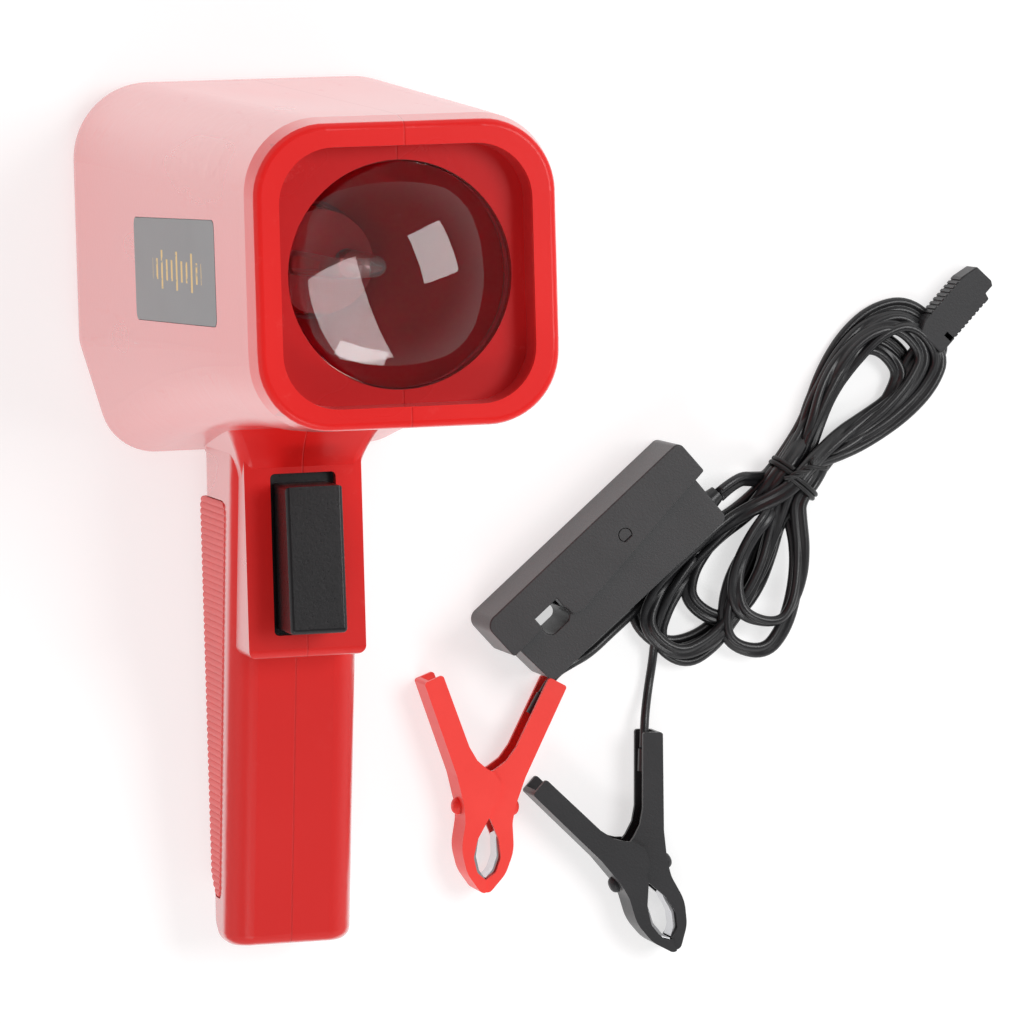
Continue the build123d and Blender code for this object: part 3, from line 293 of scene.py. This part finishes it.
def rating_plate():
    """Dark satin plate printed with a plain scale of amber ticks."""
    paint = Paint("plate")
    z = paint.axis("Z")
    along = paint.math("ABSOLUTE", paint.math("SUBTRACT", z, SCALE_MIDDLE_Z))
    across = paint.math("ABSOLUTE", paint.axis("Y"))
    step = paint.math("FRACT", paint.math("DIVIDE", paint.math("ADD", z, TICK_SHIFT), TICK_PITCH))
    tick = paint.math("LESS_THAN", step, TICK_SHARE)
    third = paint.math("FRACT", paint.math("DIVIDE", paint.math("ADD", z, TALL_SHIFT), TALL_PITCH))
    tall = paint.math("LESS_THAN", third, TALL_SHARE)
    height = paint.math("ADD", paint.math("MULTIPLY", tall, TALL_EXTRA), TICK_REACH)
    inside = paint.math("LESS_THAN", across, height)
    run = paint.math("LESS_THAN", along, SCALE_HALF_LENGTH)
    print_mask = paint.math("MULTIPLY", paint.math("MULTIPLY", tick, inside), run)
    smear = paint.noise(22.0, 3.0)
    dark = paint.mix(smear, (0.050, 0.052, 0.056), (0.090, 0.092, 0.098))
    print_wear_and_grip_shade = paint.spread(paint.noise(1.6, 4.0), 0.30, 0.42)
    amber = paint.math("MULTIPLY", print_mask, print_wear_and_grip_shade)
    paint.put("Base Color", paint.mix(amber, dark, (0.62, 0.36, 0.02)))
    paint.put("Roughness", 0.30)
    paint.put("Coat Weight", paint.grazing(0.55, 0.95, 0.85))
    paint.put("Coat IOR", 1.9)
    paint.put("Coat Roughness", 0.30)
    paint.bump(paint.noise(0.8, 2.0), 0.02, 0.4)
    return paint.material


def clear_lens():
    """Polished clear acrylic, faintly dusty."""
    paint = Paint("lens_glass")
    dust = paint.spread(paint.noise(3.0, 6.0, 0.7), 0.55, 0.80)
    paint.put("Base Color", (0.99, 0.90, 0.91))
    paint.put("Specular IOR Level", 0.42)
    paint.put("Transmission Weight", 1.0)
    paint.put("IOR", 1.46)
    paint.put("Roughness", paint.math("MULTIPLY", dust, 0.02))
    return paint.material


def tube_glass():
    """Slightly smoked glass of the flash tube."""
    paint = Paint("tube_glass")
    haze = paint.noise(1.5, 3.0)
    paint.put("Base Color", (0.95, 0.93, 0.90))
    paint.put("Transmission Weight", 0.75)
    paint.put("IOR", 1.45)
    paint.put("Roughness", paint.math("MULTIPLY", haze, 0.15))
    return paint.material


def pebbled(name, dark, light, grain_mm, depth_mm, rough, edge=0.0):
    """Moulded plastic or rubber with a fine eroded grain and soft tone changes."""
    paint = Paint(name)
    tone = paint.noise(14.0, 5.0, 0.6)
    speck = paint.noise(grain_mm, 3.0, 0.6)
    paint.put("Base Color", paint.mix(tone, dark, light))
    lift = paint.math("MULTIPLY", speck, 0.16)
    paint.put("Roughness", paint.math("ADD", lift, rough))
    paint.put("Specular IOR Level", 0.28)
    paint.put("Coat Weight", paint.grazing(0.62, 0.97, edge))
    paint.put("Coat Roughness", 0.4)
    paint.bump(speck, depth_mm, 0.7)
    paint.bump(paint.cells(grain_mm * 1.6), depth_mm * 0.6, 0.4)
    return paint.material


def metal(name, dark, light, rough, streak=(1.0, 1.0, 1.0)):
    """Metal with fine drawing marks and smudges."""
    paint = Paint(name)
    grain = paint.noise(0.6, 4.0, 0.6, streak)
    smudge = paint.noise(5.0, 3.0)
    paint.put("Metallic", 1.0)
    paint.put("Base Color", paint.mix(smudge, dark, light))
    paint.put("Roughness", paint.math("ADD", paint.math("MULTIPLY", grain, 0.18), rough))
    paint.bump(grain, 0.02, 0.4)
    return paint.material


def cord_sheath():
    """Black soft sheath with fine drag marks along it and a satin gleam."""
    paint = Paint("cord_black")
    tone = paint.noise(8.0, 4.0, 0.6)
    drag = paint.noise(1.2, 4.0, 0.6)
    paint.put("Base Color", paint.mix(tone, (0.005, 0.005, 0.006), (0.014, 0.014, 0.015)))
    paint.put("Specular IOR Level", 0.42)
    paint.put("Roughness", paint.math("ADD", paint.math("MULTIPLY", drag, 0.14), 0.26))
    paint.bump(drag, 0.04, 0.5)
    return paint.material


def pale_floor():
    """Matt floor that glows a little, so that it stays pale in the shadows."""
    paint = Paint("floor")
    tone = paint.noise(260.0, 2.0)
    paint.put("Base Color", paint.mix(tone, (0.42, 0.42, 0.42), (0.45, 0.45, 0.45)))
    paint.put("Roughness", 0.9)
    paint.put("Emission Color", (1.0, 1.0, 1.0))
    paint.put("Emission Strength", 0.61)
    return paint.material


def make_materials():
    """One material for each material slot of the record."""
    return {
        "red_shell": red_shell(),
        "inner_red": inner_red(),
        "grip_pad": grip_pad(),
        "plate": rating_plate(),
        "lens_glass": clear_lens(),
        "tube_glass": tube_glass(),
        "cord_black": cord_sheath(),
        "button_black": pebbled("button_black", (0.005, 0.005, 0.006), (0.012, 0.012, 0.013),
                                grain_mm=0.7, depth_mm=0.03, rough=0.22, edge=0.6),
        "clamp_black": pebbled("clamp_black", (0.030, 0.030, 0.031), (0.046, 0.046, 0.048),
                               grain_mm=0.45, depth_mm=0.07, rough=0.38, edge=0.7),
        "plug_black": pebbled("plug_black", (0.014, 0.014, 0.015), (0.024, 0.024, 0.026),
                              grain_mm=0.5, depth_mm=0.05, rough=0.38, edge=0.4),
        "tie_black": pebbled("tie_black", (0.010, 0.010, 0.010), (0.020, 0.020, 0.021),
                             grain_mm=0.4, depth_mm=0.03, rough=0.32),
        "clip_red": pebbled("clip_red", (0.76, 0.036, 0.027), (0.86, 0.060, 0.046),
                            grain_mm=0.5, depth_mm=0.03, rough=0.38, edge=0.7),
        "clip_black": pebbled("clip_black", (0.014, 0.014, 0.015), (0.026, 0.026, 0.028),
                              grain_mm=0.5, depth_mm=0.04, rough=0.36, edge=0.6),
        "dark_part": pebbled("dark_part", (0.020, 0.020, 0.022), (0.036, 0.036, 0.038),
                             grain_mm=0.6, depth_mm=0.04, rough=0.42),
        "pale_plastic": pebbled("pale_plastic", (0.62, 0.60, 0.54), (0.72, 0.70, 0.64),
                                grain_mm=0.6, depth_mm=0.03, rough=0.45),
        "board": pebbled("board", (0.30, 0.17, 0.055), (0.42, 0.25, 0.09),
                         grain_mm=0.5, depth_mm=0.04, rough=0.50),
        "capacitor_sleeve": pebbled("capacitor_sleeve", (0.012, 0.022, 0.09), (0.022, 0.040, 0.14),
                                    grain_mm=0.8, depth_mm=0.02, rough=0.22),
        "ferrite": pebbled("ferrite", (0.050, 0.050, 0.052), (0.080, 0.080, 0.082),
                           grain_mm=0.3, depth_mm=0.04, rough=0.40),
        "screw_steel": metal("screw_steel", (0.48, 0.48, 0.50), (0.62, 0.62, 0.64), rough=0.24),
        "spring_steel": metal("spring_steel", (0.42, 0.42, 0.43), (0.58, 0.58, 0.59), rough=0.22),
        "jaw_steel": metal("jaw_steel", (0.74, 0.74, 0.76), (0.86, 0.86, 0.88), rough=0.07),
        "contact_brass": metal("contact_brass", (0.66, 0.48, 0.20), (0.80, 0.62, 0.30),
                               rough=0.22),
        "copper": metal("copper", (0.55, 0.24, 0.10), (0.72, 0.36, 0.18), rough=0.25,
                        streak=(1, 1, 5)),
    }


# ------------------------------------------------------------------------------ mesh helpers
WELD_M = 1e-7
SHORTEST_STEP = 0.1        # points of a route nearer than this are dropped
LEAST_LEVEL = 1e-3         # a route nearly straight up has no level side of its own


def mesh_piece(name, vertices, faces, slot, body=ROOT, smooth=False):
    """Closed mesh from points in millimetres, painted and riding on a body."""
    mesh = bpy.data.meshes.new(name)
    mesh.from_pydata([Vector(v) * MM for v in vertices], [], faces)
    build = bmesh.new()
    build.from_mesh(mesh)
    bmesh.ops.remove_doubles(build, verts=build.verts, dist=WELD_M)
    bmesh.ops.recalc_face_normals(build, faces=build.faces)
    build.to_mesh(mesh)
    build.free()
    piece = bpy.data.objects.new(name, mesh)
    bpy.context.collection.objects.link(piece)
    for face in mesh.polygons:
        face.use_smooth = smooth
    mesh.materials.append(MATERIALS[slot])
    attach(piece, body)
    return piece


def route_points(name, route, resolution=8):
    """Points of the smooth NURBS line whose control points are the route, in millimetres."""
    data = bpy.data.curves.new(name + "_route", "CURVE")
    data.dimensions = "3D"
    data.resolution_u = resolution
    spline = data.splines.new("NURBS")
    spline.points.add(len(route) - 1)
    for point, place in zip(spline.points, route):
        point.co = (*(Vector(place) * MM), 1.0)
    spline.order_u = 3
    spline.use_endpoint_u = True
    line = bpy.data.objects.new(name + "_route", data)
    bpy.context.collection.objects.link(line)
    bpy.context.view_layer.update()
    mesh = bpy.data.meshes.new_from_object(line)
    points = []
    for vertex in mesh.vertices:
        place = vertex.co / MM
        if not points or (place - points[-1]).length > SHORTEST_STEP:
            points.append(place)
    bpy.data.objects.remove(line)
    bpy.data.curves.remove(data)
    bpy.data.meshes.remove(mesh)
    return points


def line_length(points):
    """Length of the runs between the points."""
    return sum((b - a).length for a, b in zip(points, points[1:]))


def sweep_section(name, points, section, slot, body=ROOT, roll=lambda share, height: 0.0):
    """Closed tube along points: its section's x axis lies level, turned by roll()."""
    total = line_length(points)
    vertices = []
    faces = []
    count = len(section)
    gone = 0.0
    for index, here in enumerate(points):
        before = points[max(index - 1, 0)]
        after = points[min(index + 1, len(points) - 1)]
        tangent = (after - before).normalized()
        if index:
            gone += (here - before).length
        level = Vector((0, 0, 1)).cross(tangent)
        if level.length < LEAST_LEVEL:
            level = Vector((1, 0, 0))
        level.normalize()
        upright = tangent.cross(level).normalized()
        turn = roll(gone / total, here.z)
        side = level * math.cos(turn) + upright * math.sin(turn)
        over = upright * math.cos(turn) - level * math.sin(turn)
        vertices += [here + side * x + over * y for x, y in section]
        if index:
            base = (index - 1) * count
            for k in range(count):
                n = (k + 1) % count
                faces.append((base + k, base + n, base + count + n, base + count + k))
    faces.append(tuple(range(count)))
    faces.append(tuple(range(len(vertices) - count, len(vertices))))
    return mesh_piece(name, vertices, faces, slot, body, smooth=True)


def circle_section(radius, count=14):
    """Outline of a round wire."""
    return [(radius * math.cos(2 * math.pi * k / count), radius * math.sin(2 * math.pi * k / count))
            for k in range(count)]


def twin_section(wire_r, spacing, count=11):
    """Outline of two wires side by side, moulded together: a figure of eight on its side."""
    reach = TWIN_ARC / 2
    points = []
    for centre, start in ((spacing / 2, -reach), (-spacing / 2, math.pi - reach)):
        for k in range(count):
            a = start + TWIN_ARC * k / (count - 1)
            points.append((centre + wire_r * math.cos(a), wire_r * math.sin(a)))
    return points


# ------------------------------------------------------------------------------ cords
TWIN_WIRE_R = 1.2
TWIN_SPACING = 2.15
TWIN_ARC = math.radians(284)        # part of each wire's circle that is seen in the section
WIRE_D = 2.4
TIE = Vector((146.5, -66.6))
HANK_ANGLE = math.radians(49.0)
LAYER = 2.35                        # height of one layer of the flat cord
FIRST_LAYER = 1.3

# from the clamp's gland to the tie, and from the tie to the plug
CLAMP_RUN = ((125.1, -70.0, 8.0), (130.4, -65.9, 7.6), (135.6, -66.4, 4.8))
PLUG_RUN = ((158.6, -56.4, 6.4), (167.5, -51.0, 4.4), (176.8, -45.6, 3.2),
            (181.8, -34.9, 3.8), (185.3, -31.2, 4.0))

# end of each turn, how far its two sides bulge, and the layer it lies in
UPPER_TURNS = (
    ((187.8, -28.4), 16.0, 8.4, 0),
    ((177.8, -34.4), 11.4, 7.4, 0),
    ((184.8, -29.8), 13.8, 7.4, 1),
    ((175.2, -36.4), 10.4, 7.0, 1),
    ((181.4, -31.8), 12.4, 7.4, 2),
    ((185.4, -31.6), 11.6, 9.4, 2),
)
LOWER_TURNS = (
    ((104.8, -103.6), 15.0, 6.4, 0),
    ((121.6, -101.0), 9.0, 9.4, 1),
    ((112.0, -111.0), 9.6, 8.4, 1),
    ((136.8, -103.8), 7.4, 10.4, 3),
    ((132.6, -111.2), 9.0, 9.2, 2),
    ((108.2, -107.4), 12.4, 9.0, 2),
)
# share of the way out to the end, and share of the side's bulge
LOBE_SHAPE = ((0.27, 0.46), (0.45, 0.80), (0.66, 1.0), (0.86, 0.96), (1.02, 0.58))
WAIST_COLUMN = 4.3
WAIST_HALF = 4.2
SIDE_PASSES = 8            # the first passes fill the two outer columns, the others the middle one
# size, number of waves along the cord and start of each of the cord's twists, in radians
ROLL_WAVES = ((0.75, 13.0, 0.0), (0.55, 31.0, 1.3))
FLOOR_GAP = 0.05           # kept under the cord's lowest edge


def lobe(end, bulge_out, bulge_back, level):
    """Control points of one turn's loop on one side of the tie, out and back."""
    reach = Vector(end) - TIE
    along = reach.normalized()
    left = Vector((-along.y, along.x))
    height = FIRST_LAYER + LAYER * level
    out = [TIE + reach * a + left * (b * bulge_out) for a, b in LOBE_SHAPE]
    back = [TIE + reach * a - left * (b * bulge_back) for a, b in reversed(LOBE_SHAPE)]
    return [(p.x, p.y, height) for p in out + back]


def waist(order, upward):
    """Two control points of a pass under the tie; the passes are stacked in three columns."""
    axis = Vector((math.cos(HANK_ANGLE), math.sin(HANK_ANGLE)))
    left = Vector((-axis.y, axis.x))
    if order < SIDE_PASSES:
        column, row = (1 if upward else -1), order // 2
    else:
        column, row = 0, order - SIDE_PASSES
    centre = TIE + left * column * WAIST_COLUMN
    height = FIRST_LAYER + LAYER * row
    ends = [centre - axis * WAIST_HALF, centre + axis * WAIST_HALF]
    if not upward:
        ends.reverse()
    return [(p.x, p.y, height) for p in ends]


def hank_route():
    """From the pickup clamp's gland, through every turn of the hank, to the plug."""
    route = list(CLAMP_RUN)
    for turn, (upper, lower) in enumerate(zip(UPPER_TURNS, LOWER_TURNS)):
        route += waist(2 * turn, True)
        route += lobe(*upper)
        route += waist(2 * turn + 1, False)
        route += lobe(*lower)
    route += waist(2 * len(UPPER_TURNS), True)
    route += PLUG_RUN
    return route


def cord_roll(share, height):
    """Slow twists that turn the flat cord partly on edge, where it is clear of the floor."""
    turns = 2 * math.pi * share
    wish = sum(size * math.sin(count * turns + start) for size, count, start in ROLL_WAVES)
    room = (height - TWIN_WIRE_R - FLOOR_GAP) / (TWIN_SPACING / 2)
    most = math.asin(min(1.0, max(0.0, room)))
    return max(-most, min(most, wish))


RED_ROUTE = ((121.0, -84.6, 3.6), (113.4, -91.4, 2.8), (104.8, -98.9, 2.0), (96.2, -106.0, 1.8),
             (89.2, -111.4, 3.4), (84.0, -113.4, 5.4), (78.1, -116.4, 5.8), (75.1, -121.4, 5.8))
BLACK_ROUTE = ((118.5, -86.8, 6.2), (113.0, -93.1, 6.9), (108.7, -100.1, 6.6),
               (107.3, -107.2, 4.6), (107.0, -114.4, 2.4), (105.7, -121.0, 2.4),
               (104.1, -126.9, 4.6), (103.3, -131.5, 5.8), (103.0, -137.5, 5.8))


def make_cords():
    """The long flat cord in its hank and the two single wires to the battery clips."""
    points = route_points("main_cord", hank_route())
    main = sweep_section("main_cord", points, twin_section(TWIN_WIRE_R, TWIN_SPACING),
                         "cord_black", roll=cord_roll)
    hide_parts("cord_hank", "plug_cord", "pickup_cord")
    for colour, route in (("red", RED_ROUTE), ("black", BLACK_ROUTE)):
        points = route_points(colour, route)
        wire = sweep_section(f"{colour}_lead", points, circle_section(WIRE_D / 2), "cord_black")
        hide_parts(f"{colour}_wire")


TIE_Z = 6.3
TIE_TURNS = 2.0
TIE_STEPS = 26
TIE_START = math.radians(70)
TIE_HALF_W = 7.8
TIE_HALF_H = 5.6
TIE_DRIFT = 2.6            # along the hank, from the start of the wraps to their end
TIE_WRAP_R = 0.65

TAIL_R = 0.55
TAIL_STEPS = 10
TAIL_TWISTS = 1.6
TAIL_RISE = 0.9            # of the twisted ends over the wraps
TAIL_START = (-2.5, 3.2)   # along the hank and across it, from the middle of the tie
TAIL_RUN = (9.5, -4.6)
TAIL_APART = 0.6
TAIL_OPENS = 0.72          # share of the tail after which its two ends spread
TAIL_SPREAD = 2.2
TAIL_THICK = 0.5


def make_tie():
    """Wire tie wound twice round the waist of the hank, its ends twisted together on top."""
    axis = Vector((math.cos(HANK_ANGLE), math.sin(HANK_ANGLE), 0))
    left = Vector((-axis.y, axis.x, 0))
    up = Vector((0, 0, 1))
    centre = Vector((TIE.x, TIE.y, TIE_Z))
    route = []
    for k in range(TIE_STEPS + 1):
        a = TIE_START + 2 * math.pi * TIE_TURNS * k / TIE_STEPS
        drift = (k / TIE_STEPS - 0.5) * TIE_DRIFT
        route.append(centre + left * TIE_HALF_W * math.cos(a) + up * TIE_HALF_H * math.sin(a)
                     + axis * drift)
    piece = sweep_section("tie_wraps", route_points("tie_wraps", route),
                          circle_section(TIE_WRAP_R), "tie_black")
    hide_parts("twist_tie")
    top = centre + up * (TIE_HALF_H + TAIL_RISE)
    for index in range(2):
        start = math.pi * index
        tail = []
        for k in range(TAIL_STEPS + 1):
            share = k / TAIL_STEPS
            a = start + 2 * math.pi * TAIL_TWISTS * share
            opened = max(0.0, share - TAIL_OPENS) / (1 - TAIL_OPENS)
            side = (left * math.cos(a) * (TAIL_APART + TAIL_SPREAD * opened)
                    + up * math.sin(a) * TAIL_THICK)
            tail.append(top + axis * (TAIL_START[0] + TAIL_RUN[0] * share)
                        + left * (TAIL_START[1] + TAIL_RUN[1] * share) + side)
        sweep_section(f"tie_end_{index}", route_points("tail", tail), circle_section(TAIL_R),
                      "tie_black")


# ------------------------------------------------------------------------------ gun details
PAD_BASE_X = 15.9
PAD_CREST_X = 17.35
PAD_TOP_Y = -63.2
PAD_END_Y = -168.8
PAD_LOW_Z = 9.2
PAD_HIGH_Z = 40.2
PAD_NARROWING = 20.9       # of the front edge, from the pad's top to its end
PAD_HEEL_Y = -163.0        # where the back edge starts to slant forwards
PAD_HEEL_SLOPE = 4.2 / 5.8
PAD_TOP_R = 3.4
PAD_END_R = 3.0
PAD_EDGE = 0.5             # chamfer round the ribbed face
RIB_PITCH = 1.7
RIB_DEPTH = 0.34
RIB_STEPS = 8              # rows of points in one rib
RIB_ROUNDNESS = 0.7


def corner_inset(radius, distance):
    """How far a round corner draws an edge in, at a distance from the end of the outline."""
    return radius - math.sqrt(max(0.0, radius ** 2 - max(0.0, radius - distance) ** 2))


def make_grip_pads():
    """Pads with fine ribs across them, in place of the plain pads on the grip's sides."""
    step = RIB_PITCH / RIB_STEPS
    length = PAD_TOP_Y - PAD_END_Y
    for side, name in ((-1, "left"), (1, "right")):
        vertices = []
        faces = []
        for k in range(int(length / step) + 1):
            y = PAD_TOP_Y - k * step
            corner = max(corner_inset(PAD_TOP_R, PAD_TOP_Y - y),
                         corner_inset(PAD_END_R, y - PAD_END_Y))
            low = PAD_LOW_Z + max(0.0, PAD_HEEL_Y - y) * PAD_HEEL_SLOPE + corner
            high = PAD_HIGH_Z - PAD_NARROWING * (PAD_TOP_Y - y) / length - corner
            rib = abs(math.sin(math.pi * (PAD_TOP_Y - y) / RIB_PITCH)) ** RIB_ROUNDNESS
            x = PAD_CREST_X - RIB_DEPTH * (1.0 - rib)
            ring = [(side * PAD_BASE_X, y, low), (side * (x - PAD_EDGE), y, low),
                    (side * x, y, low + PAD_EDGE), (side * x, y, high - PAD_EDGE),
                    (side * (x - PAD_EDGE), y, high), (side * PAD_BASE_X, y, high)]
            vertices += ring
            if k:
                count = len(ring)
                base = (k - 1) * count
                for n in range(count):
                    m = (n + 1) % count
                    faces.append((base + n, base + m, base + count + m, base + count + n))
        faces.append(tuple(range(len(ring))))
        faces.append(tuple(range(len(vertices) - len(ring), len(vertices))))
        piece = mesh_piece(f"grip_ribs_{name}", vertices, faces, "grip_pad")
        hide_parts(f"grip_pad_{name}")


def paint_cad():
    """Each CAD node gets the material of its slot."""
    slots = {part["node"]: part["material_slot"] for part in frame["record"]["subparts"]}
    for name, node in frame["nodes"].items():
        node.data.materials.clear()
        node.data.materials.append(MATERIALS[slots[name]])


FLOOR_HALF_M = 4.0
FLOOR_LEVEL_M = -0.0003


def make_floor():
    """Wide pale floor just under the object; its sizes are in metres."""
    corners = [(x * FLOOR_HALF_M, y * FLOOR_HALF_M, FLOOR_LEVEL_M)
               for x, y in ((-1, -1), (1, -1), (1, 1), (-1, 1))]
    mesh = bpy.data.meshes.new("floor")
    mesh.from_pydata(corners, [], [(0, 1, 2, 3)])
    mesh.materials.append(pale_floor())
    floor = bpy.data.objects.new("floor", mesh)
    bpy.context.collection.objects.link(floor)


# ------------------------------------------------------------------------------ scene
MATERIALS = make_materials()
make_camera()
make_cords()
make_tie()
paint_cad()
make_grip_pads()
make_floor()
make_world()
area_light("key", place=(765, 240, 1420), target=(20, 0, 120), size=(760, 600), power=13.0)
area_light("fill", place=(-240, -1120, 1110), target=(40, -60, 80), size=(700, 260), power=5.0)
bpy.context.scene.view_settings.view_transform = "Standard"
